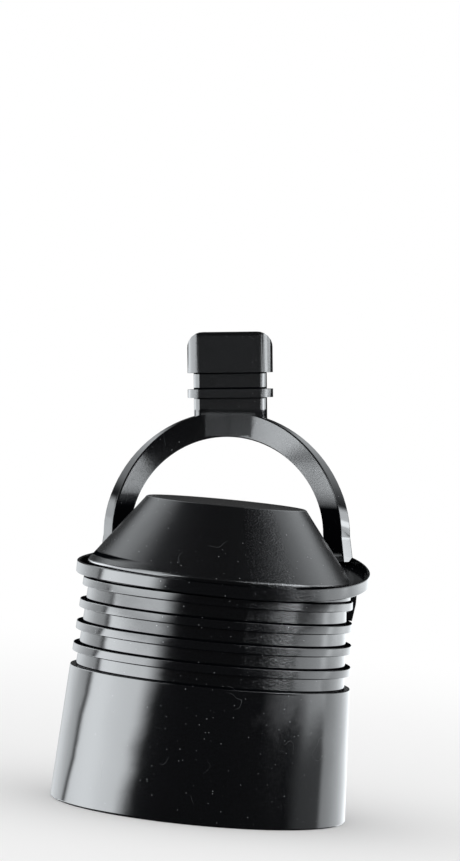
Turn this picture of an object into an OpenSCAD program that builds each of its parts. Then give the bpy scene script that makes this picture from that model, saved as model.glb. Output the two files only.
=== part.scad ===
// Tow ball cover: a soft moulded cap that is pushed down over a coupling ball.
// A flared skirt, a ribbed barrel and a coned roof are turned about the Z axis.
// A shallow collar and a carrying loop with a grip bar grow out of the neck.
// The open rim lies on z = 0, the loop stands at the back (+Y) and X runs to the right.
// All lengths are in millimetres and all angles in degrees.

/* [Ball] */
// Diameter of the coupling ball that the cap covers
ball_d = 50; // [40:0.5:60]
// Gap all round between the ball and the bore
ball_gap = 0.25; // [0.1:0.05:1]

/* [Barrel] */
// Wall behind the topmost groove
wall = 1.55; // [1.2:0.05:2.5]
// Number of ribs round the barrel
rib_count = 4; // [2:1:6]
// Distance from one rib to the next
rib_pitch = 4.52; // [3.5:0.1:6]
// Height of each rib
rib_h = 1.7; // [1:0.1:2.5]
// How far a rib stands out of the groove below it
groove_depth = 1.2; // [0.6:0.1:1.6]
// How much wider each rib is than the one above it, along the barrel's taper
rib_step = 0.28; // [0.1:0.02:0.5]
// Rounding of the rib edges
rib_edge_r = 0.15; // [0.05:0.05:0.4]

/* [Skirt] */
// Height of the skirt
skirt_h = 27.5; // [15:0.5:45]
// How far the skirt stands out past the lowest rib
skirt_step = 0.16; // [0:0.02:1]
// How much wider the skirt is at its open rim than at its top
skirt_flare = 1.6; // [0.5:0.1:4]
// Wall of the skirt
skirt_wall = 1.6; // [1.2:0.1:2.2]
// Rounding of the open rim
rim_edge_r = 0.4; // [0.1:0.1:0.6]

/* [Roof] */
// How far the neck above the ribs stands out of the topmost groove
neck_step = 0.6; // [0.3:0.1:1]
// Straight height of the neck above the top rib
neck_h = 3.2; // [2:0.1:5]
// Radius of the flat top of the roof
roof_top_r = 16.5; // [12:0.1:20]
// Angle of the coned roof from the axis
roof_angle = 37.4; // [30:0.1:50]
// Radius of the round shoulder between the cone and the neck
shoulder_r = 1; // [0.5:0.1:6]
// Wall of the roof
roof_wall = 1.8; // [1.2:0.1:3]
// Rounding of the edge of the flat top
roof_edge_r = 0.5; // [0.1:0.1:1.5]

/* [Collar] */
// How far the collar reaches out past the neck
collar_reach = 2.8; // [2:0.1:5]
// Height of the collar's band
collar_h = 2.4; // [1.8:0.1:5]
// Thickness of the collar's upstanding wall
collar_wall = 0.6; // [0.4:0.1:1.2]
// Thickness of the collar's floor
collar_floor = 0.8; // [0.5:0.1:1.2]
// Chamfer along the collar's edges
collar_edge = 0.12; // [0.05:0.01:0.2]
// Height of the collar's middle above the top rib
collar_rise = 2.75; // [2.6:0.05:4]
// How far the collar sits off the cap's axis, to the right
collar_shift = 0.65; // [0:0.05:1]
// How far the collar's right side is lifted above its middle
lift_side = 1.4; // [0:0.1:1.6]
// How far the collar's rear is lifted above its middle
lift_rear = 2.9; // [0:0.1:3]
// How far the collar is twisted up at the right rear and the left front
lift_twist = 0.85; // [0:0.05:1]
// How far the collar's two sides sag between its front and its rear
lift_sag = 0.4; // [0:0.05:0.6]

/* [Loop] */
// Thickness of the loop's band from its front face to its rear face
band_t = 2.45; // [1.8:0.05:3]
// Turn from the middle of the back to the inner edge of a leg
leg_turn = 47.5; // [35:0.5:55]
// Width of a leg, as a turn about the loop's axis
leg_arc = 13.5; // [8:0.5:20]
// How far a leg turns outwards for each millimetre on its way down
leg_splay = 0.5; // [0:0.05:1]
// Height of the straight legs above the underside of the collar
leg_h = 5.95; // [3:0.05:12]
// Height of the loop's clear crown above the legs
crown_rise = 20.3; // [12:0.1:24]
// Width of the band at the crown of the loop
crown_w = 5.4; // [3:0.1:8]
// Chamfer along the band's edges
band_edge = 0.25; // [0.1:0.05:0.5]
// How far the loop's axis lies right of the cap's axis at the collar
loop_shift = 1.2; // [0:0.05:1.5]
// How far the loop is carried above the collar's middle by the lifted rear
loop_rise = 1.65; // [1:0.05:2]
// Lean of the loop to the left
loop_lean = 4.8; // [0:0.1:6]

/* [Feet] */
// How far a foot stands out of the topmost groove below the collar
foot_reach = 2.9; // [1.4:0.1:3.2]
// Turn from the middle of the back to the inner side of a foot
foot_turn = 49; // [35:0.5:60]
// Width of a foot, as a turn about the cap's axis
foot_arc = 22.5; // [10:0.5:26]
// Turn of both feet to the right, where the leaning loop pushes them
foot_skew = 4.5; // [0:0.5:5]
// How far a foot draws in towards its lower end
foot_tuck = 0.5; // [0:0.1:1]
// Height over which a foot draws in
foot_round = 3.5; // [1:0.1:4]

/* [Grip bar] */
// Width of the neck between the loop and the grip bar
grip_neck_w = 15.6; // [10:0.1:20]
// Height of that neck above the crown of the loop
grip_neck_h = 3; // [2:0.1:8]
// Thickness of that neck from front to back
grip_t = 3.3; // [2.6:0.1:5]
// How far the grip sits to the right of the loop's middle
grip_shift = 0.5; // [0:0.1:1]
// How far the grip leans further to the left than the loop
grip_lean = 1.3; // [0:0.1:3]
// How far the flange and the bar stand out round the neck
grip_lip = 1.3; // [0.6:0.1:2.5]
// Height of the flange
flange_h = 1.8; // [1:0.1:3]
// Height of the waist between the flange and the bar
waist_h = 3.5; // [2:0.1:6]
// Height of the bar at the top
bar_h = 8.7; // [5:0.1:14]
// Rounding of the bar's two top corners
bar_corner_r = 3.3; // [0.5:0.1:4.5]
// Rounding of the bar's two long top edges
grip_edge_r = 0.9; // [0.2:0.1:1.2]

/* [Hidden] */
$fn = 180;

pvc_black = [0.05, 0.05, 0.055];
// Overlap where one volume grows out of another
bury = 0.4;
// Reach of a cutting volume past the face that it opens
past = 1;
// Half of the flat that is left at each round end of the grip
end_flat = 0.05;
// Segments in the small arcs of a profile
arc_steps = 6;
// Segments in the loop's round crown
crown_steps = 48;
// Segments in each leg of the loop
leg_steps = 8;
// Sections round the collar, and across each foot
collar_steps = 180;
foot_steps = 16;

bore_r = ball_d / 2 + ball_gap;
top_groove_r = bore_r + wall;
top_rib_r = top_groove_r + groove_depth;
barrel_taper = rib_step / rib_pitch;
low_rib_r = top_rib_r + (rib_count - 1) * rib_step;
skirt_top_r = low_rib_r + skirt_step;
skirt_rim_r = skirt_top_r + skirt_flare;
neck_r = top_groove_r + neck_step;

barrel_top_z = skirt_h + rib_count * rib_pitch;
neck_top_z = barrel_top_z + neck_h;
cone_foot_r = neck_r - shoulder_r * (1 - cos(roof_angle));
cone_foot_z = neck_top_z + shoulder_r * sin(roof_angle);
roof_z = cone_foot_z + (cone_foot_r - roof_top_r) / tan(roof_angle);
// The roof's wall measured level, and the height at which it meets the bore
roof_wall_level = roof_wall / cos(roof_angle);
roof_foot_z = roof_z - (bore_r + roof_wall_level - roof_top_r) / tan(roof_angle);
roof_ceiling_z = roof_z - roof_wall;
roof_ceiling_r = roof_top_r + roof_wall * tan(roof_angle) - roof_wall_level;

// The collar's middle, and the radius inside the roof's wall from which it grows
collar_z = barrel_top_z + collar_rise;
collar_r = neck_r + collar_reach;
collar_root_r = bore_r - wall;

// The loop's band lies on a leaning drum that backs into the collar's wall
band_rear_r = collar_r - collar_wall * 3 / 4;
band_front_r = band_rear_r - band_t;
leg_out_turn = leg_turn + leg_arc;
leg_root_z = collar_floor - bury / 8;
crown_in_z = leg_h + crown_rise;
crown_out_z = crown_in_z + crown_w;

// The feet grow out of the barrel's wall and end on the second rib
foot_r = top_groove_r + foot_reach;
foot_root_r = bore_r + wall / 2;
foot_z = barrel_top_z - rib_pitch - bury / 4;

grip_d = grip_t + 2 * grip_lip;
grip_w = grip_neck_w + 2 * grip_lip;
grip_y = (band_front_r + band_rear_r) / 2;
flange_z = crown_out_z + grip_neck_h;
waist_z = flange_z + flange_h;
bar_z = waist_z + waist_h;

// Directions from corner b to its neighbours a and c, and half the angle between them
function corner_arms(a, b, c) =
    let (
        u = (a - b) / norm(a - b),
        v = (c - b) / norm(c - b),
        half = acos(u * v) / 2
    )
    [u, v, half];

// Points of an outline whose corners [x, y, radius] are rounded by arcs
function rounded(corners) = [
    for (i = [0:len(corners) - 1])
        let (
            n = len(corners),
            prev = corners[(i + n - 1) % n],
            here = corners[i],
            next = corners[(i + 1) % n],
            b = [here[0], here[1]],
            r = here[2],
            arms = corner_arms([prev[0], prev[1]], b, [next[0], next[1]]),
            middle = (arms[0] + arms[1]) / norm(arms[0] + arms[1]),
            centre = b + middle * r / sin(arms[2]),
            from = b + arms[0] * r / tan(arms[2]) - centre,
            to = b + arms[1] * r / tan(arms[2]) - centre
        )
        each r == 0 ? [b] : [
            for (k = [0:arc_steps])
                let (
                    spoke = from * (1 - k / arc_steps) + to * (k / arc_steps)
                )
                centre + spoke * r / norm(spoke)
        ]
];

// Corners of rib i, counted from the top, with the groove below it
function rib_corners(i) =
    let (
        top = barrel_top_z - i * rib_pitch,
        r = top_rib_r + i * rib_step,
        groove_r = r - groove_depth,
        groove_h = rib_pitch - rib_h
    )
    [
        [groove_r + groove_h * barrel_taper, top - rib_pitch, 0],
        [groove_r, top - rib_h, 0],
        [r, top - rib_h, rib_edge_r],
        [r - rib_h * barrel_taper, top, rib_edge_r]
    ];

function shoulder_points() = [
    for (k = [0:arc_steps])
        let (
            a = roof_angle * k / arc_steps
        )
        [
            neck_r - shoulder_r * (1 - cos(a)),
            neck_top_z + shoulder_r * sin(a),
            0
        ]
];

// Half section of the cap's outside, from the axis at the rim up to the top
function cap_outside() = rounded([
    [0, 0, 0],
    [skirt_rim_r, 0, rim_edge_r],
    [skirt_top_r, skirt_h, rib_edge_r],
    each [for (i = [rib_count - 1:-1:0]) each rib_corners(i)],
    [neck_r, barrel_top_z, 0],
    each shoulder_points(),
    [roof_top_r, roof_z, roof_edge_r],
    [0, roof_z, 0]
]);

module cap_solid() {
    rotate_extrude()
        polygon(cap_outside());
}

// The hollow: a flared mouth, a lead-in, the bore for the ball and a coned ceiling
module cap_hollow() {
    mouth_r = skirt_rim_r - skirt_wall;
    lead_z = skirt_h - skirt_wall;
    lead_r = skirt_top_r - skirt_wall;
    slope = (lead_r - mouth_r) / lead_z;
    rotate_extrude()
        polygon([
            [0, -past],
            [mouth_r - slope * past, -past],
            [lead_r, lead_z],
            [bore_r, lead_z + (lead_r - bore_r)],
            [bore_r, roof_foot_z],
            [roof_ceiling_r, roof_ceiling_z],
            [0, roof_ceiling_z]
        ]);
}

// Skin over a row of sections, each of them a ring of [x, y, z] points
module swept(sections, closed) {
    rows = len(sections);
    sides = len(sections[0]);
    skin = [
        for (i = [0:closed ? rows - 1 : rows - 2], j = [0:sides - 1])
            let (
                a = i * sides + j,
                b = i * sides + (j + 1) % sides,
                on = ((i + 1) % rows - i) * sides
            )
            each [[a, b, b + on], [a, b + on, a + on]]
    ];
    ends = closed ? [] : [
        [for (j = [sides - 1:-1:0]) j],
        [for (j = [0:sides - 1]) (rows - 1) * sides + j]
    ];
    polyhedron(
        points = [for (section = sections) each section],
        faces = concat(ends, skin),
        convexity = 6
    );
}

// Height of the underside of the collar's floor at turn a, counted from the right side
function collar_lift(a) =
    collar_z + lift_side * cos(a) + lift_rear * sin(a)
    + lift_twist * sin(2 * a) - lift_sag * cos(2 * a);

// Section of the collar: a thin floor round the neck and an upstanding outer wall
function collar_section(a) =
    let (
        z = collar_lift(a),
        e = collar_edge,
        wall_r = collar_r - collar_wall
    )
    [
        for (
            p = [
                [collar_root_r, 0],
                [collar_r - e, 0],
                [collar_r, e],
                [collar_r, collar_h - e],
                [collar_r - e, collar_h],
                [wall_r + e, collar_h],
                [wall_r, collar_h - e],
                [wall_r, collar_floor],
                [collar_root_r, collar_floor]
            ]
        )
            [collar_shift + p[0] * cos(a), p[0] * sin(a), z + p[1]]
    ];

module collar() {
    swept([for (i = [0:collar_steps - 1]) collar_section(360 * i / collar_steps)], true);
}

// Section of a foot, which fills the space between the second rib and the collar
function foot_section(a) =
    let (
        top = collar_lift(a) + collar_floor / 2
    )
    [
        for (
            p = [
                [foot_root_r, foot_z],
                [foot_r - foot_tuck, foot_z],
                [foot_r, foot_z + foot_round],
                [foot_r, top],
                [foot_root_r, top]
            ]
        )
            [p[0] * cos(a), p[0] * sin(a), p[1]]
    ];

module foot(middle) {
    swept([
        for (k = [0:foot_steps])
            foot_section(middle + foot_arc * (k / foot_steps - 1 / 2))
    ], false);
}

module feet() {
    reach = foot_turn + foot_arc / 2;
    foot(90 - foot_skew - reach);
    foot(90 - foot_skew + reach);
}

module in_loop_frame() {
    translate([loop_shift, 0, collar_z + loop_rise])
        rotate([0, -loop_lean, 0])
            children();
}

// Stations along the loop from the left leg over the crown to the right leg.
// Each holds the inner and the outer point of the band, as [turn, height].
function leg_station(side, k) =
    let (
        z = leg_root_z + (leg_h - leg_root_z) * k / leg_steps,
        splay = leg_splay * (leg_h - z)
    )
    [[side * (leg_turn + splay), z], [side * (leg_out_turn + splay), z]];

function crown_station(k) =
    let (
        a = 180 * k / crown_steps
    )
    [
        [-asin(sin(leg_turn) * cos(a)), leg_h + crown_rise * sin(a)],
        [-asin(sin(leg_out_turn) * cos(a)), leg_h + (crown_rise + crown_w) * sin(a)]
    ];

function loop_stations() = [
    for (k = [0:leg_steps - 1]) leg_station(-1, k),
    for (k = [0:crown_steps]) crown_station(k),
    for (k = [leg_steps - 1:-1:0]) leg_station(1, k)
];

// One point of the band: share u of the way across it, at radius r from the drum's axis
function band_point(station, u, r) =
    let (
        p = station[0] * (1 - u) + station[1] * u
    )
    [r * sin(p[0]), r * cos(p[0]), p[1]];

function band_section(station) =
    let (
        e = band_edge / norm(band_point(station, 1, band_front_r) - band_point(station, 0, band_front_r))
    )
    [
        band_point(station, e, band_front_r),
        band_point(station, 1 - e, band_front_r),
        band_point(station, 1, band_front_r + band_edge),
        band_point(station, 1, band_rear_r - band_edge),
        band_point(station, 1 - e, band_rear_r),
        band_point(station, e, band_rear_r),
        band_point(station, 0, band_rear_r - band_edge),
        band_point(station, 0, band_front_r + band_edge)
    ];

module loop_band() {
    swept([for (station = loop_stations()) band_section(station)], false);
}

// Plan of the grip: a bar with rounded ends
module grip_plan(w, d, r) {
    square([w - 2 * r, d], center = true);
    square([w, d - 2 * r], center = true);
    for (x = [-1, 1], y = [-1, 1])
        translate([x * (w / 2 - r), y * (d / 2 - r)])
            circle(r, $fn = 48);
}

module grip_slab(z, h, lip) {
    w = grip_neck_w + 2 * lip;
    d = grip_t + 2 * lip;
    translate([0, grip_y, z])
        linear_extrude(h)
            grip_plan(w, d, d / 2 - end_flat);
}

// Outline of the bar across its height, with the lower edges square
module bar_outline(w, r) {
    polygon(rounded([
        [-w / 2, 0, 0],
        [w / 2, 0, 0],
        [w / 2, bar_h, r],
        [-w / 2, bar_h, r]
    ]));
}

module grip_bar() {
    intersection() {
        grip_slab(bar_z, bar_h, grip_lip);
        translate([0, grip_y + grip_d, bar_z])
            rotate([90, 0, 0])
                linear_extrude(2 * grip_d)
                    bar_outline(grip_w, bar_corner_r);
        translate([-grip_w, grip_y, bar_z])
            rotate([90, 0, 90])
                linear_extrude(2 * grip_w)
                    bar_outline(grip_d, grip_edge_r);
    }
}

// The neck starts just above the band's inner edge, and the whole grip leans about its crown
module grip() {
    neck_z = crown_in_z + band_edge;
    translate([grip_shift, 0, crown_out_z])
        rotate([0, -grip_lean, 0])
            translate([0, 0, -crown_out_z]) {
                grip_slab(neck_z, flange_z - neck_z + bury, 0);
                grip_slab(flange_z, flange_h, grip_lip);
                grip_slab(waist_z - bury, waist_h + 2 * bury, 0);
                grip_bar();
            }
}

module tow_ball_cover() {
    color(pvc_black)
        difference() {
            union() {
                cap_solid();
                collar();
                feet();
                in_loop_frame() {
                    loop_band();
                    grip();
                }
            }
            cap_hollow();
        }
}

tow_ball_cover();
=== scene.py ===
# %% [markdown]
# # Tow ball cover
# This lesson dresses one moulded piece: a soft black cap that is pushed down over a coupling
# ball. The shape is already exact, because it comes from the construction model, so the
# lesson is about what the eye sees on it: glossy black plastic, dust, small scratches, and
# the tall soft lights that draw bright bands along its sides.
# The first cell loads the model and keeps it in place.

# %% Load the part
import math

import bpy
from mathutils import Matrix, Vector

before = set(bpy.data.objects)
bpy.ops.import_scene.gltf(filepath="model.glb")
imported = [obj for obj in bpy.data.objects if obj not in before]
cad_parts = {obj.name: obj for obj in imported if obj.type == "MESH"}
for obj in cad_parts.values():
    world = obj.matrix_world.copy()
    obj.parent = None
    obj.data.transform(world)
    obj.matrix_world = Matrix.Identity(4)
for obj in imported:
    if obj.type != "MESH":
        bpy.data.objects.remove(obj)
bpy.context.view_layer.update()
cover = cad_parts["tow_ball_cover"]
MM = 0.001


print("triangles in the cover:", len(cover.data.polygons))

# %% [markdown]
# ## The view
# A product photograph of this kind is taken from far away with a long lens, so that the cap
# keeps its true proportions. The camera stands 0.82 m in front, level with the top of the
# grip bar, and leans sideways by 5.4 degrees, which is why the cap looks tipped to the right.

# %% Place the camera
FOCAL_IN_PIXELS = 4000
PHOTO_HEIGHT = 861
SENSOR_WIDTH = 36
NEAREST_SEEN = 0.01
CAMERA_PLACE = Vector((-0.7, -824.5, 99.1)) * MM
CAMERA_DOWN = math.radians(1.45)
CAMERA_LEAN = math.radians(5.44)

camera_data = bpy.data.cameras.new("view")
camera_data.sensor_width = SENSOR_WIDTH
camera_data.lens = FOCAL_IN_PIXELS * SENSOR_WIDTH / PHOTO_HEIGHT
camera_data.clip_start = NEAREST_SEEN
camera = bpy.data.objects.new("view", camera_data)
bpy.context.scene.collection.objects.link(camera)
turn = Matrix.Rotation(math.pi / 2 - CAMERA_DOWN, 4, "X") @ Matrix.Rotation(CAMERA_LEAN, 4, "Z")
camera.matrix_world = Matrix.Translation(CAMERA_PLACE) @ turn
bpy.context.scene.camera = camera
bpy.context.scene.view_settings.view_transform = "Standard"
print("lens in millimetres:", round(camera_data.lens, 1))

# %% [markdown]
# ## Tools for the materials
# A material is a small network. Two helpers keep the cells short: one adds a node and sets
# its values, and the other feeds a socket with either a number or another node's output.
# A third begins a material with an empty network.

# %% Helpers for nodes
def feed(tree, socket, value):
    if isinstance(value, bpy.types.NodeSocket):
        tree.links.new(value, socket)
    else:
        socket.default_value = value


def node(tree, kind, inputs=None, **settings):
    made = tree.nodes.new(kind)
    for name, value in settings.items():
        setattr(made, name, value)
    for name, value in (inputs or {}).items():
        feed(tree, made.inputs[name], value)
    return made


def new_material(name):
    material = bpy.data.materials.new(name)
    material.use_nodes = True
    material.node_tree.nodes.clear()
    return material, material.node_tree


def coordinates(tree):
    return node(tree, "ShaderNodeTexCoord").outputs["Object"]


print("helpers for nodes: feed, node, new_material and coordinates")

# %% [markdown]
# The next helpers are the sums that come back again and again: a product, a total, a step
# with a soft edge, and a stretch between two such steps. A real edge of light or of haze is
# never quite sharp, so each step takes its softness in the units of the value it works on.

# %% Helpers for sums
def sum_of(tree, operation, a, b=0.0, c=0.0):
    return node(tree, "ShaderNodeMath", {0: a, 1: b, 2: c}, operation=operation).outputs[0]


def product(tree, *factors):
    total = factors[0]
    for factor in factors[1:]:
        total = sum_of(tree, "MULTIPLY", total, factor)
    return total


def total_of(tree, *parts):
    total = parts[0]
    for part in parts[1:]:
        total = sum_of(tree, "ADD", total, part)
    return total


def between(tree, value, low, high):
    made = node(tree, "ShaderNodeMapRange", {"Value": value, "From Min": low, "From Max": high})
    made.interpolation_type = "SMOOTHSTEP"
    return made.outputs["Result"]


def step_past(tree, value, edge, softness):
    away = sum_of(tree, "SUBTRACT", value, edge)
    return between(tree, away, -softness / 2, softness / 2)


def stretch(tree, value, low, high, softness_low, softness_high):
    inside = step_past(tree, value, low, softness_low)
    outside = step_past(tree, high, value, softness_high)
    return product(tree, inside, outside)


print("helpers for sums: sum_of, product, total_of, between, step_past and stretch")

# %% [markdown]
# ## The room
# Black gloss has hardly any colour of its own: it shows the room. The room here is dark on
# all sides and darker still overhead, which keeps the middle of the cap black. Matt
# surfaces get an even fill from it, and camera rays see plain white on every side.

# %% Make the room around the cap
ROOM_DARK = 0.05
ROOM_OVERHEAD = 0.04
ROOM_FILL = 1.0
OVERHEAD_FROM, OVERHEAD_FULL = 0.6, 0.85
WHITE = (1, 1, 1, 1)

world = bpy.data.worlds.new("studio room")
bpy.context.scene.world = world
world.use_nodes = True
tree = world.node_tree
tree.nodes.clear()
direction = node(tree, "ShaderNodeTexCoord").outputs["Generated"]
axes = node(tree, "ShaderNodeSeparateXYZ", {0: direction})
overhead = between(tree, axes.outputs["Z"], OVERHEAD_FROM, OVERHEAD_FULL)
mirrored = sum_of(tree, "MULTIPLY_ADD", overhead, ROOM_OVERHEAD - ROOM_DARK, ROOM_DARK)
path = node(tree, "ShaderNodeLightPath")
fill = node(tree, "ShaderNodeMix", {0: path.outputs["Is Glossy Ray"], 2: ROOM_FILL, 3: mirrored})
seen = sum_of(tree, "MAXIMUM", path.outputs["Is Camera Ray"], path.outputs["Is Transmission Ray"])
strength = node(tree, "ShaderNodeMix", {0: seen, 2: fill.outputs[0], 3: 1.0}).outputs[0]
background = node(tree, "ShaderNodeBackground", {"Color": WHITE, "Strength": strength})
node(tree, "ShaderNodeOutputWorld", {"Surface": background.outputs[0]})
print("room levels: sides", ROOM_DARK, "overhead", ROOM_OVERHEAD, "fill", ROOM_FILL)

# %% [markdown]
# ## The floor
# The cap stands on a plain pale table top. Far from the cap the table turns into the white
# of the room for camera rays, so no horizon line crosses the picture, and near the cap it is
# an ordinary pale surface that keeps the soft shadow. It isn't mirrored in the cap, so the
# bright bands run down to the rim.

# %% Lay the floor
FLOOR_RADIUS = 1.4
FADE_FROM, FADE_TO = 0.1, 0.45
PALE = (0.9, 0.9, 0.9, 1)


def deselect_all():
    for other in bpy.context.selected_objects:
        other.select_set(False)


deselect_all()
bpy.ops.mesh.primitive_circle_add(vertices=96, radius=FLOOR_RADIUS, fill_type="NGON")
floor = bpy.context.object
floor.name = "table top"
floor.visible_glossy = False
paint, tree = new_material("pale table top")
reach = node(tree, "ShaderNodeVectorMath", {0: coordinates(tree)}, operation="LENGTH")
far = between(tree, reach.outputs["Value"], FADE_FROM, FADE_TO)
path = node(tree, "ShaderNodeLightPath")
fade = sum_of(tree, "MULTIPLY", far, path.outputs["Is Camera Ray"])
matt = node(tree, "ShaderNodeBsdfDiffuse", {"Color": PALE})
glow = node(tree, "ShaderNodeEmission", {"Color": WHITE, "Strength": 1.0})
mixed = node(tree, "ShaderNodeMixShader", {0: fade, 1: matt.outputs[0], 2: glow.outputs[0]})
node(tree, "ShaderNodeOutputMaterial", {"Surface": mixed.outputs[0]})
floor.data.materials.append(paint)
print("floor radius:", FLOOR_RADIUS)

# %% [markdown]
# ## The tent of light
# A glossy round thing is lit with cloth, not with lamps: each stretch of cloth is mirrored
# as one band. Here one round tent wall stands 0.35 m from the cap's axis and glows in
# patches. The wall shows only in reflections, so that it throws no hard shadow, and the
# plain fill above lights the matt surfaces.

# %% Put up the tent wall
TENT_RADIUS = 0.35
TENT_LOW, TENT_HIGH = -0.12, 0.6

deselect_all()
bpy.ops.mesh.primitive_cylinder_add(
    vertices=128,
    radius=TENT_RADIUS,
    depth=TENT_HIGH - TENT_LOW,
    end_fill_type="NOTHING",
    location=(0, 0, (TENT_HIGH + TENT_LOW) / 2),
)
tent = bpy.context.object
tent.name = "tent wall"
bpy.ops.object.transform_apply(location=True, rotation=True, scale=True)
tent.visible_camera = False
tent.visible_diffuse = False
tent.visible_shadow = False
print("tent wall from", TENT_LOW, "to", TENT_HIGH)

# %% [markdown]
# Places on the cloth are given by the turn from the camera's side in degrees, left being
# negative, and by the height in millimetres. Separate panels would do as well, but then each
# soft or slanting edge would need a panel of its own.

# %% Measure places on the cloth
cloth, tree = new_material("tent cloth")
axes = node(tree, "ShaderNodeSeparateXYZ", {0: coordinates(tree)})
toward_camera = sum_of(tree, "MULTIPLY", axes.outputs["Y"], -1.0)
turned = sum_of(tree, "ARCTAN2", axes.outputs["X"], toward_camera)
AZ = sum_of(tree, "MULTIPLY", turned, 180 / math.pi)
HEIGHT = sum_of(tree, "MULTIPLY", axes.outputs["Z"], 1 / MM)
print("cloth measured in degrees and millimetres with", len(tree.nodes), "nodes")

# %% [markdown]
# A patch has two sides in degrees and two heights in millimetres, each with its own
# softness. A side may slant: its turn is then given at the height of the floor, together
# with how far it moves for each millimetre upwards. The named heights are where the
# stretches of wall end that serve the skirt, the ribs, the loop, the grip and the legs.

# %% Describe a patch of cloth
def slanted(at_floor, slant):
    return sum_of(tree, "MULTIPLY_ADD", HEIGHT, slant, at_floor)


def patch(level, sides, heights, soft_sides, soft_heights):
    across = stretch(tree, AZ, *sides, *soft_sides)
    upwards = stretch(tree, HEIGHT, *heights, *soft_heights)
    return product(tree, across, upwards, level)


LOW, SKIRT_TOP, RIB_TOP = -120, 27, 46
LOOP_LOW, LOOP_TOP, GRIP_TOP, LEG_TOP = 50, 92, 165, 360
skirt_and_ribs = {"heights": (LOW, RIB_TOP), "soft_heights": (1, 6)}
ribs_alone = {"heights": (SKIRT_TOP, RIB_TOP), "soft_heights": (6, 6)}
print("stretches of the wall end at", SKIRT_TOP, RIB_TOP, LOOP_LOW, LOOP_TOP, GRIP_TOP, "and", LEG_TOP)

# %% [markdown]
# The left side is one wide bright patch whose edge slants towards the camera on its way up.
# It draws the broad pale band on the skirt and the ribs, and it fades a little away from the
# camera. Behind it, past a narrow dark gap, a greyer patch runs round to the back, which
# lights the left edge of the cap. Three patches above them are mirrored higher up: in the
# upper ribs and the collar, in the left side of the grip, and in the outer side of the left
# leg. The right half of the arch faces left, so it mirrors them too.

# %% Light the left side
left_near = slanted(at_floor=-57, slant=0.3)
left_far = slanted(at_floor=-113.2, slant=0.33)
grey_end = slanted(at_floor=-118, slant=0.33)
FAR_SHARE = 0.41
FAR_TURN, NEAR_TURN = -130, -85
nearness = between(tree, AZ, FAR_TURN, NEAR_TURN)
fading = sum_of(tree, "MULTIPLY_ADD", nearness, 1 - FAR_SHARE, FAR_SHARE)
broad_band = patch(10.8, (left_far, left_near), soft_sides=(6, 18), **skirt_and_ribs)
round_the_back = patch(2.5, (-160, grey_end), soft_sides=(60, 6), **skirt_and_ribs)
for_collar = patch(9.5, (-140, left_near), (LOOP_LOW, LOOP_TOP), (50, 18), (6, 8))
for_grip_side = patch(9.0, (-128, -33), (LOOP_TOP, GRIP_TOP), (36, 8), (8, 20))
for_left_leg = patch(7.0, (-86, -52), (GRIP_TOP, LEG_TOP), (10, 6), (20, 80))
left_side = total_of(
    tree,
    product(tree, broad_band, fading),
    round_the_back,
    for_collar,
    for_grip_side,
    for_left_leg,
)
print("left side: five patches, the broad one fading to", FAR_SHARE)

# %% [markdown]
# The right side is dimmer. One patch lights the ribs, a second fades out down the skirt, and
# a faint third reaches the floor. Two more lie behind them and light the right edge of the
# cap, one of them for the ribs alone.

# %% Light the right side
SKIRT_FADE = 14
right_side = total_of(
    tree,
    patch(3.6, (58, 112), soft_sides=(36, 12), **ribs_alone),
    patch(3.2, (82, 106), (SKIRT_FADE, SKIRT_TOP), (14, 6), (12, 6)),
    patch(0.5, (74, 108), (LOW, SKIRT_TOP), (20, 6), (1, 6)),
    patch(2.3, (106, 175), soft_sides=(8, 50), **skirt_and_ribs),
    patch(1.2, (112, 140), soft_sides=(12, 20), **ribs_alone),
)
print("right side: five patches")

# %% [markdown]
# The loop and the grip stand higher and mirror a higher stretch of wall. On the right, one
# small bright patch is mirrored in the left half of the arch, which faces it, and in the
# right of the ribs. A wide one is mirrored in the right sides of the grip and of the right
# leg, and a tall narrow one a little in all of them.

# %% Light the right of the loop and the grip
loop_right = total_of(
    tree,
    patch(14.0, (55, 81), (72, 98), (8, 6), (8, 8)),
    patch(9.0, (19, 116), (158, 215), (6, 20), (10, 20)),
    patch(9.0, (53, 80), (124, 330), (6, 8), (8, 60)),
)
print("right of the loop: three patches")

# %% [markdown]
# Higher still, a soft patch on each side lights the cone, whose slope mirrors the upper
# wall. A faint one beside the camera lifts the front of the grip bar out of the black.

# %% Light the cone and the grip's front
CONE_LEVEL = 2.1
high_up = {"heights": (210, 540), "soft_heights": (120, 160)}
cone_light = total_of(
    tree,
    patch(CONE_LEVEL, (-165, -103), soft_sides=(30, 26), **high_up),
    patch(CONE_LEVEL, (94, 165), soft_sides=(56, 30), **high_up),
    patch(0.3, (-30, 16), (130, 215), (10, 6), (20, 20)),
)
print("cone patches at", CONE_LEVEL, "on both sides")

# %% [markdown]
# All patches add up to one level of light. Where the level is nothing the cloth lets the
# dark room show through, so one wall can serve as many lamps. The bright bands on the real
# cap are slightly blue, so the light is a little cool.

# %% Hang the cloth
COOL = (0.93, 0.97, 1.0, 1)
CLOTH_FROM = 0.02

level = total_of(tree, left_side, right_side, loop_right, cone_light)
shine = node(tree, "ShaderNodeEmission", {"Color": COOL, "Strength": level}).outputs[0]
see_through = node(tree, "ShaderNodeBsdfTransparent").outputs[0]
covered = between(tree, level, 0.0, CLOTH_FROM)
wall = node(tree, "ShaderNodeMixShader", {0: covered, 1: see_through, 2: shine})
node(tree, "ShaderNodeOutputMaterial", {"Surface": wall.outputs[0]})
tent.data.materials.append(cloth)
print("tent cloth:", len(tree.nodes), "nodes")

# %% [markdown]
# ## Smooth facets
# The construction model arrives as loose triangles. Welding them by a modifier joins the
# corners that share a place, splitting the sharp edges keeps the moulded steps crisp, and
# weighted normals let the large faces lead, so that a small rounding doesn't bend the
# reflection on the flat beside it.

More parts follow.
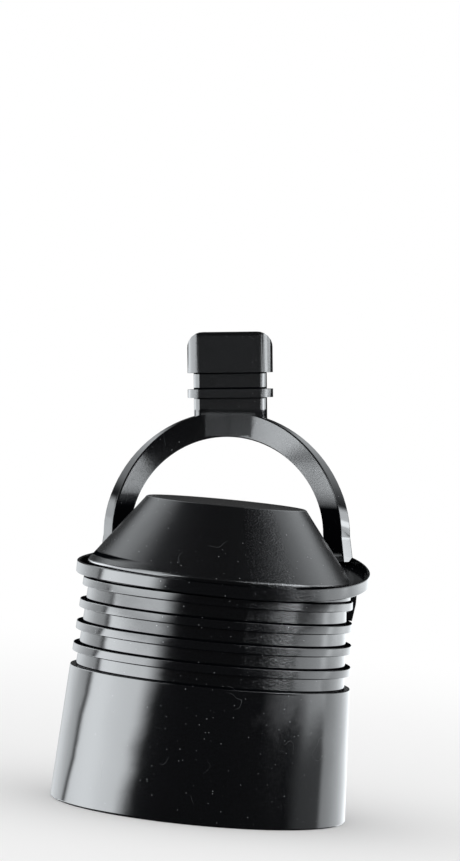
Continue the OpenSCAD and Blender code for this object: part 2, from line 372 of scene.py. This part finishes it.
# %% Smooth the round faces
SAME_PLACE = 0.000002
SHARP_FROM = math.radians(24)
LARGE_FACE_WEIGHT = 90

weld = cover.modifiers.new("join corners", "WELD")
weld.merge_threshold = SAME_PLACE
split = cover.modifiers.new("keep edges", "EDGE_SPLIT")
split.split_angle = SHARP_FROM
split.use_edge_sharp = False
lead = cover.modifiers.new("large faces lead", "WEIGHTED_NORMAL")
lead.weight = LARGE_FACE_WEIGHT
for face in cover.data.polygons:
    face.use_smooth = True
print("modifiers on the cover:", [modifier.name for modifier in cover.modifiers])

# %% [markdown]
# ## Effects for the surface
# Dust, scratches and clouds of haze are made once, as node groups. Each takes a place in
# millimetres and puts out one value, so that the material alone decides what it does with it.

# %% Helpers for node groups
def new_group(name, inputs, output_name):
    group = bpy.data.node_groups.new(name, "ShaderNodeTree")
    group.interface.new_socket(name="Place", in_out="INPUT", socket_type="NodeSocketVector")
    for label in inputs:
        group.interface.new_socket(name=label, in_out="INPUT", socket_type="NodeSocketFloat")
    group.interface.new_socket(name=output_name, in_out="OUTPUT", socket_type="NodeSocketFloat")
    way_in = group.nodes.new("NodeGroupInput").outputs
    way_out = group.nodes.new("NodeGroupOutput").inputs
    return group, way_in, way_out[0]


def use_group(tree, group, inputs):
    return node(tree, "ShaderNodeGroup", inputs, node_tree=group).outputs[0]


print("helpers for groups: new_group and use_group")

# %% [markdown]
# Dust is a scatter of cells of which only a small share holds a grain. The grain's size
# changes from cell to cell, and its rim is soft.

# %% Dust
SMALLEST_GRAIN, GRAIN_SPREAD = 0.4, 0.9
GRAIN_RIM, GRAIN_CORE = 1.0, 0.5

dust_group, way_in, way_out = new_group("dust grains", ["Scale", "Share", "Size"], "Mask")
cell_inputs = {"Vector": way_in["Place"], "Scale": way_in["Scale"]}
cells = node(dust_group, "ShaderNodeTexVoronoi", cell_inputs)
draw = node(dust_group, "ShaderNodeSeparateColor", {0: cells.outputs["Color"]})
holds = sum_of(dust_group, "LESS_THAN", draw.outputs[0], way_in["Share"])
grown = sum_of(dust_group, "MULTIPLY_ADD", draw.outputs[1], GRAIN_SPREAD, SMALLEST_GRAIN)
radius = sum_of(dust_group, "MULTIPLY", grown, way_in["Size"])
share_out = sum_of(dust_group, "DIVIDE", cells.outputs["Distance"], radius)
grain = between(dust_group, share_out, GRAIN_RIM, GRAIN_CORE)
feed(dust_group, way_out, product(dust_group, holds, grain))
print("dust group:", len(dust_group.nodes), "nodes")

# %% [markdown]
# A scratch follows a contour of slow noise, which curls as a real one does. A second noise
# lets only short stretches of it through.

# %% Scratches
CONTOUR = 0.5
LINE_RIM, LINE_CORE = 1.0, 0.3
CHANCE_SCALE, CHANCE_FROM, CHANCE_FULL = 0.16, 0.6, 0.7

scratch_group, way_in, way_out = new_group("fine scratches", ["Scale", "Width"], "Mask")
slow_inputs = {"Vector": way_in["Place"], "Scale": way_in["Scale"]}
slow = node(scratch_group, "ShaderNodeTexNoise", slow_inputs).outputs[0]
off_line = sum_of(scratch_group, "ABSOLUTE", sum_of(scratch_group, "SUBTRACT", slow, CONTOUR))
widths_off = sum_of(scratch_group, "DIVIDE", off_line, way_in["Width"])
line = between(scratch_group, widths_off, LINE_RIM, LINE_CORE)
chance_inputs = {"Vector": way_in["Place"], "Scale": CHANCE_SCALE, "Detail": 1.0}
chance = node(scratch_group, "ShaderNodeTexNoise", chance_inputs).outputs[0]
lets_through = between(scratch_group, chance, CHANCE_FROM, CHANCE_FULL)
feed(scratch_group, way_out, product(scratch_group, line, lets_through))
print("scratch group:", len(scratch_group.nodes), "nodes")

# %% [markdown]
# A cloud is an oval with a torn edge: how far a place is from the oval's middle, made uneven
# by noise. It serves for the haze that a thumb leaves on gloss.

# %% Clouds
CLOUD_INPUTS = ["Across", "Up", "Half width", "Half height"]
TORN_SCALE, TORN_DETAIL, TORN_DEPTH = 0.3, 6.0, 3.0
CLOUD_RIM, CLOUD_CORE = 1.2, 0.2

cloud_group, way_in, way_out = new_group("cloud of haze", CLOUD_INPUTS, "Mask")
wide = sum_of(cloud_group, "DIVIDE", way_in["Across"], way_in["Half width"])
high = sum_of(cloud_group, "DIVIDE", way_in["Up"], way_in["Half height"])
squares = total_of(cloud_group, product(cloud_group, wide, wide), product(cloud_group, high, high))
distance = sum_of(cloud_group, "SQRT", squares)
torn_inputs = {"Vector": way_in["Place"], "Scale": TORN_SCALE, "Detail": TORN_DETAIL}
torn = node(cloud_group, "ShaderNodeTexNoise", torn_inputs).outputs[0]
uneven = sum_of(cloud_group, "MULTIPLY_ADD", torn, -TORN_DEPTH, TORN_DEPTH / 2)
cloud = between(cloud_group, total_of(cloud_group, distance, uneven), CLOUD_RIM, CLOUD_CORE)
feed(cloud_group, way_out, cloud)
print("cloud group:", len(cloud_group.nodes), "nodes")

# %% [markdown]
# ## Black plastic
# Soft moulded PVC is a deep black with a clear gloss on the barrel and the skirt, and a
# satin finish on the cone. First come the places that the finish depends on: the distance
# from the axis and the turn round it.

# %% Read the places on the cover
plastic, tree = new_material("black soft plastic")
place_inputs = {0: coordinates(tree), "Scale": 1 / MM}
PLACE = node(tree, "ShaderNodeVectorMath", place_inputs, operation="SCALE").outputs[0]
axes = node(tree, "ShaderNodeSeparateXYZ", {0: PLACE})
X, Y, Z = (axes.outputs[name] for name in "XYZ")


def length_of(a, b):
    squares = total_of(tree, product(tree, a, a), product(tree, b, b))
    return sum_of(tree, "SQRT", squares)


REACH = length_of(X, Y)
TURN = sum_of(tree, "ARCTAN2", X, sum_of(tree, "MULTIPLY", Y, -1.0))
print("places on the cover in millimetres, with the turn in radians")

# %% [markdown]
# The loop leans to the left, and the grip a little more, so both have places of their own,
# measured along and across the lean. The same tilt of two axes serves for both.

# %% Read the places on the loop
LOOP_FOOT_X, LOOP_FOOT_Z = 1.2, 50.0
LOOP_LEAN = math.radians(4.8)
GRIP_LEAN = math.radians(1.3)
CROWN_TOP = 31.65


def along_lean(along, aside, lean):
    straight = product(tree, along, math.cos(lean))
    sideways = product(tree, aside, math.sin(lean))
    return total_of(tree, straight, sideways)


from_foot_x = sum_of(tree, "SUBTRACT", X, LOOP_FOOT_X)
from_foot_z = sum_of(tree, "SUBTRACT", Z, LOOP_FOOT_Z)
LOOP_X = along_lean(from_foot_x, from_foot_z, LOOP_LEAN)
LOOP_Z = along_lean(from_foot_z, from_foot_x, -LOOP_LEAN)
LOOP_REACH = length_of(LOOP_X, Y)
GRIP_Z = along_lean(sum_of(tree, "SUBTRACT", LOOP_Z, CROWN_TOP), LOOP_X, -GRIP_LEAN)
print("loop leans", round(math.degrees(LOOP_LEAN), 1), "degrees")
print("grip leans", round(math.degrees(GRIP_LEAN), 1), "degrees more")

# %% [markdown]
# The finish has three zones: clear gloss, the satin cone, and a speckled band on the right
# of the front, where the gloss is broken up into fine grains. The flat top of the roof is
# satin too, but without the speckles.

# %% Divide the surface into zones
CONE_FOOT_Z, CONE_FOOT_R = 49.0, 27.6
ROOF_TOP_R = 16.5
SPECKLE_LEFT, SPECKLE_RIGHT = 0.2, 0.62
GRAIN_SCALE, GRAIN_LEVEL = 3.2, 0.55

above_foot = step_past(tree, Z, CONE_FOOT_Z, softness=0.6)
within_foot = step_past(tree, CONE_FOOT_R, REACH, softness=0.4)
on_cone = product(tree, above_foot, within_foot)
grain_inputs = {"Vector": PLACE, "Scale": GRAIN_SCALE, "Detail": 2.0}
grains = node(tree, "ShaderNodeTexNoise", grain_inputs).outputs[0]
off_the_top = step_past(tree, REACH, ROOF_TOP_R, softness=0.4)
on_the_right = stretch(tree, TURN, SPECKLE_LEFT, SPECKLE_RIGHT, 0.1, 0.2)
speckle_band = product(tree, on_the_right, off_the_top)
speckled = product(tree, speckle_band, step_past(tree, grains, GRAIN_LEVEL, softness=0.08))
print("zones: gloss, satin from", CONE_FOOT_Z, "upwards, speckled on the right")

# %% [markdown]
# Where one step meets the next, gloss mirrors only the dark corner. Thin lines of shade lie
# above and below each rib, but not on the feet of the loop, which cover the ribs.

# %% Shade the corners of the ribs
RIB_PITCH, RIB_HEIGHT = 4.52, 1.7
SKIRT_EDGE, BARREL_TOP = 27.5, 45.58
LINE_ABOVE, LINE_BELOW, BELOW_DEPTH = 0.32, 0.2, 0.8
FOOT_REACH = 29.1
PITCHES_TO_FLOOR = 10

groove_top = RIB_PITCH - RIB_HEIGHT
lowest_start = BARREL_TOP - PITCHES_TO_FLOOR * RIB_PITCH
above_rib = sum_of(tree, "MODULO", sum_of(tree, "SUBTRACT", Z, lowest_start), RIB_PITCH)
on_barrel = stretch(tree, Z, SKIRT_EDGE, BARREL_TOP + 0.4, 0.05, 0.1)
upper_lines = step_past(tree, LINE_ABOVE, above_rib, softness=0.1)
lower_lines = stretch(tree, above_rib, groove_top - LINE_BELOW, groove_top, 0.1, 0.02)
rib_lines = total_of(tree, upper_lines, product(tree, lower_lines, BELOW_DEPTH))
off_the_feet = step_past(tree, FOOT_REACH, REACH, softness=0.1)
ribs_shade = product(tree, rib_lines, on_barrel, off_the_feet)
print("corner lines on", round((BARREL_TOP - SKIRT_EDGE) / RIB_PITCH), "ribs")

# %% [markdown]
# The grip's waist has such lines too, above the flange and below the bar. The front of the
# two legs is shaded as a whole up to the height where it clears the dark roof that it faces.

# %% Shade the grip and the legs
FLANGE_TOP, BAR_FOOT = 4.8, 8.3
BAND_INNER_R, BAND_FRONT_R = 26.8, 27.5
LEG_SHADE_LOW, LEG_SHADE_TOP, LEG_INNER_X = 2, 14, 14

waist_lines = total_of(
    tree,
    stretch(tree, GRIP_Z, FLANGE_TOP - 0.05, FLANGE_TOP + 0.35, 0.05, 0.1),
    stretch(tree, GRIP_Z, BAR_FOOT - 0.25, BAR_FOOT + 0.02, 0.1, 0.05),
)
band_front = stretch(tree, LOOP_REACH, BAND_INNER_R, BAND_FRONT_R, 0.2, 0.05)
leg_height = stretch(tree, LOOP_Z, LEG_SHADE_LOW, LEG_SHADE_TOP, 1, 5)
off_the_middle = step_past(tree, sum_of(tree, "ABSOLUTE", LOOP_X), LEG_INNER_X, softness=2)
leg_front = product(tree, band_front, leg_height, off_the_middle)
SHADE = sum_of(tree, "MINIMUM", total_of(tree, ribs_shade, waist_lines, leg_front), 1.0)
print("legs shaded up to", LEG_SHADE_TOP, "mm above their feet")

# %% [markdown]
# The marks of handling: a scatter of white dust in two sizes, and a few hairlines, which
# catch less light than the dust does.

# %% Spread dust and scratches
SMALL_DUST_LEVEL, SCRATCH_LEVEL = 0.8, 0.2

big_inputs = {"Place": PLACE, "Scale": 0.42, "Share": 0.25, "Size": 0.045}
small_inputs = {"Place": PLACE, "Scale": 1.5, "Share": 0.22, "Size": 0.12}
big_dust = use_group(tree, dust_group, big_inputs)
small_dust = product(tree, use_group(tree, dust_group, small_inputs), SMALL_DUST_LEVEL)
dust = sum_of(tree, "MAXIMUM", big_dust, small_dust)
hairlines = use_group(tree, scratch_group, {"Place": PLACE, "Scale": 0.09, "Width": 0.0012})
marks = sum_of(tree, "MAXIMUM", dust, product(tree, hairlines, SCRATCH_LEVEL))
print("dust in two sizes, and hairlines at a level of", SCRATCH_LEVEL)

# %% [markdown]
# A cloud of haze sits on the right of the skirt, just below its upper edge, where fingers
# hold the cap. Its place is given along the skirt's surface, so that it keeps its shape
# round the curve.

# %% Spread the haze
HAZE_TURN, HAZE_Z, SKIRT_R = 0.55, 23.0, 29.0
HAZE_HALF_WIDTH, HAZE_HALF_HEIGHT = 5.5, 3.6

turn_off = sum_of(tree, "SUBTRACT", TURN, HAZE_TURN)
haze_inputs = {
    "Place": PLACE,
    "Across": sum_of(tree, "MULTIPLY", turn_off, SKIRT_R),
    "Up": sum_of(tree, "SUBTRACT", Z, HAZE_Z),
    "Half width": HAZE_HALF_WIDTH,
    "Half height": HAZE_HALF_HEIGHT,
}
haze = use_group(tree, cloud_group, haze_inputs)
print("haze at", round(math.degrees(HAZE_TURN)), "degrees to the right")

# %% [markdown]
# Dust and haze lighten the colour and take the gloss away. The colour itself is nearly
# black, because all that is seen of this plastic is what it mirrors.

# %% Mix colour and roughness
BLACK = (0.002, 0.0023, 0.003, 1)
HAZED = (0.012, 0.0124, 0.0135, 1)
DUSTY = (0.42, 0.43, 0.45, 1)
GLOSS, SATIN, BROKEN = 0.1, 0.24, 0.15
DULLING, HAZE_SHARE = 0.15, 0.35

hazed = node(tree, "ShaderNodeMix", {0: haze, 6: BLACK, 7: HAZED}, data_type="RGBA").outputs[2]
colour = node(tree, "ShaderNodeMix", {0: marks, 6: hazed, 7: DUSTY}, data_type="RGBA").outputs[2]
dulled = sum_of(tree, "MAXIMUM", marks, product(tree, haze, HAZE_SHARE))
roughness = total_of(
    tree,
    GLOSS,
    product(tree, on_cone, SATIN - GLOSS),
    product(tree, speckled, BROKEN - GLOSS),
    product(tree, dulled, DULLING),
)
print("roughness from", GLOSS, "on the gloss to", SATIN, "on the cone")

# %% [markdown]
# The grip's faces are crowned rather than flat, so they are shaded as if they looked a
# little upwards, at a stretch of wall of their own. The front of the loop is shaded as if it
# were turned, because the soft loop twists as it leans. Both change only how the light is
# mirrored, and the shape stays as it is.

# %% Turn the shading of the grip and the loop
GRIP_TILT = 0.12
LOOP_TURN = math.radians(12)

on_grip = step_past(tree, LOOP_Z, CROWN_TOP + 0.4, softness=0.6)
upwards = node(tree, "ShaderNodeCombineXYZ", {"Z": product(tree, on_grip, GRIP_TILT)}).outputs[0]
on_band = product(tree, band_front, stretch(tree, LOOP_Z, LEG_SHADE_LOW, CROWN_TOP, 1, 1))
facing = node(tree, "ShaderNodeNewGeometry").outputs["Normal"]
turn_inputs = {"Vector": facing, "Angle": sum_of(tree, "MULTIPLY", on_band, -LOOP_TURN)}
turned = node(tree, "ShaderNodeVectorRotate", turn_inputs, rotation_type="Z_AXIS").outputs[0]
tilted = node(tree, "ShaderNodeVectorMath", {0: turned, 1: upwards}, operation="ADD").outputs[0]
straight = node(tree, "ShaderNodeVectorMath", {0: tilted}, operation="NORMALIZE").outputs[0]
print("loop shaded as turned by", round(math.degrees(LOOP_TURN)), "degrees")

# %% [markdown]
# A moulded skin is never quite even, and the bands of light waver on it. Slow waves do that
# everywhere, and fine grains are added to them: hardly any on the gloss, more on the cone,
# and most in the speckled band above the skirt.

# %% Make the skin uneven
WAVE_SCALE = 0.35
GRAIN_ON_GLOSS, GRAIN_ON_CONE, GRAIN_IN_BAND = 0.1, 2.5, 12
SKIN_DEPTH = 0.000006

wave_inputs = {"Vector": PLACE, "Scale": WAVE_SCALE, "Detail": 2.0}
waves = node(tree, "ShaderNodeTexNoise", wave_inputs).outputs[0]
above_skirt = step_past(tree, Z, SKIRT_EDGE, softness=1)
roughened = total_of(
    tree,
    GRAIN_ON_GLOSS,
    product(tree, on_cone, GRAIN_ON_CONE),
    product(tree, speckle_band, above_skirt, GRAIN_IN_BAND),
)
skin_height = total_of(tree, waves, product(tree, grains, roughened))
skin_inputs = {"Height": skin_height, "Strength": 1.0, "Distance": SKIN_DEPTH, "Normal": straight}
skin = node(tree, "ShaderNodeBump", skin_inputs).outputs[0]
print("skin depth in micrometres:", round(SKIN_DEPTH * 1000 / MM))

# %% [markdown]
# Everything meets in one shader. Where the corners are shaded, it mirrors less.

# %% Make the black plastic
MIRROR_SHARE = 0.5
PVC_IOR = 1.54

plastic_inputs = {
    "Base Color": colour,
    "Roughness": roughness,
    "IOR": PVC_IOR,
    "Specular IOR Level": sum_of(tree, "MULTIPLY_ADD", SHADE, -MIRROR_SHARE, MIRROR_SHARE),
    "Normal": skin,
}
shell = node(tree, "ShaderNodeBsdfPrincipled", plastic_inputs)
node(tree, "ShaderNodeOutputMaterial", {"Surface": shell.outputs[0]})
for slot in cover.material_slots:
    slot.material = plastic
print("material:", plastic.name, "with", len(tree.nodes), "nodes")
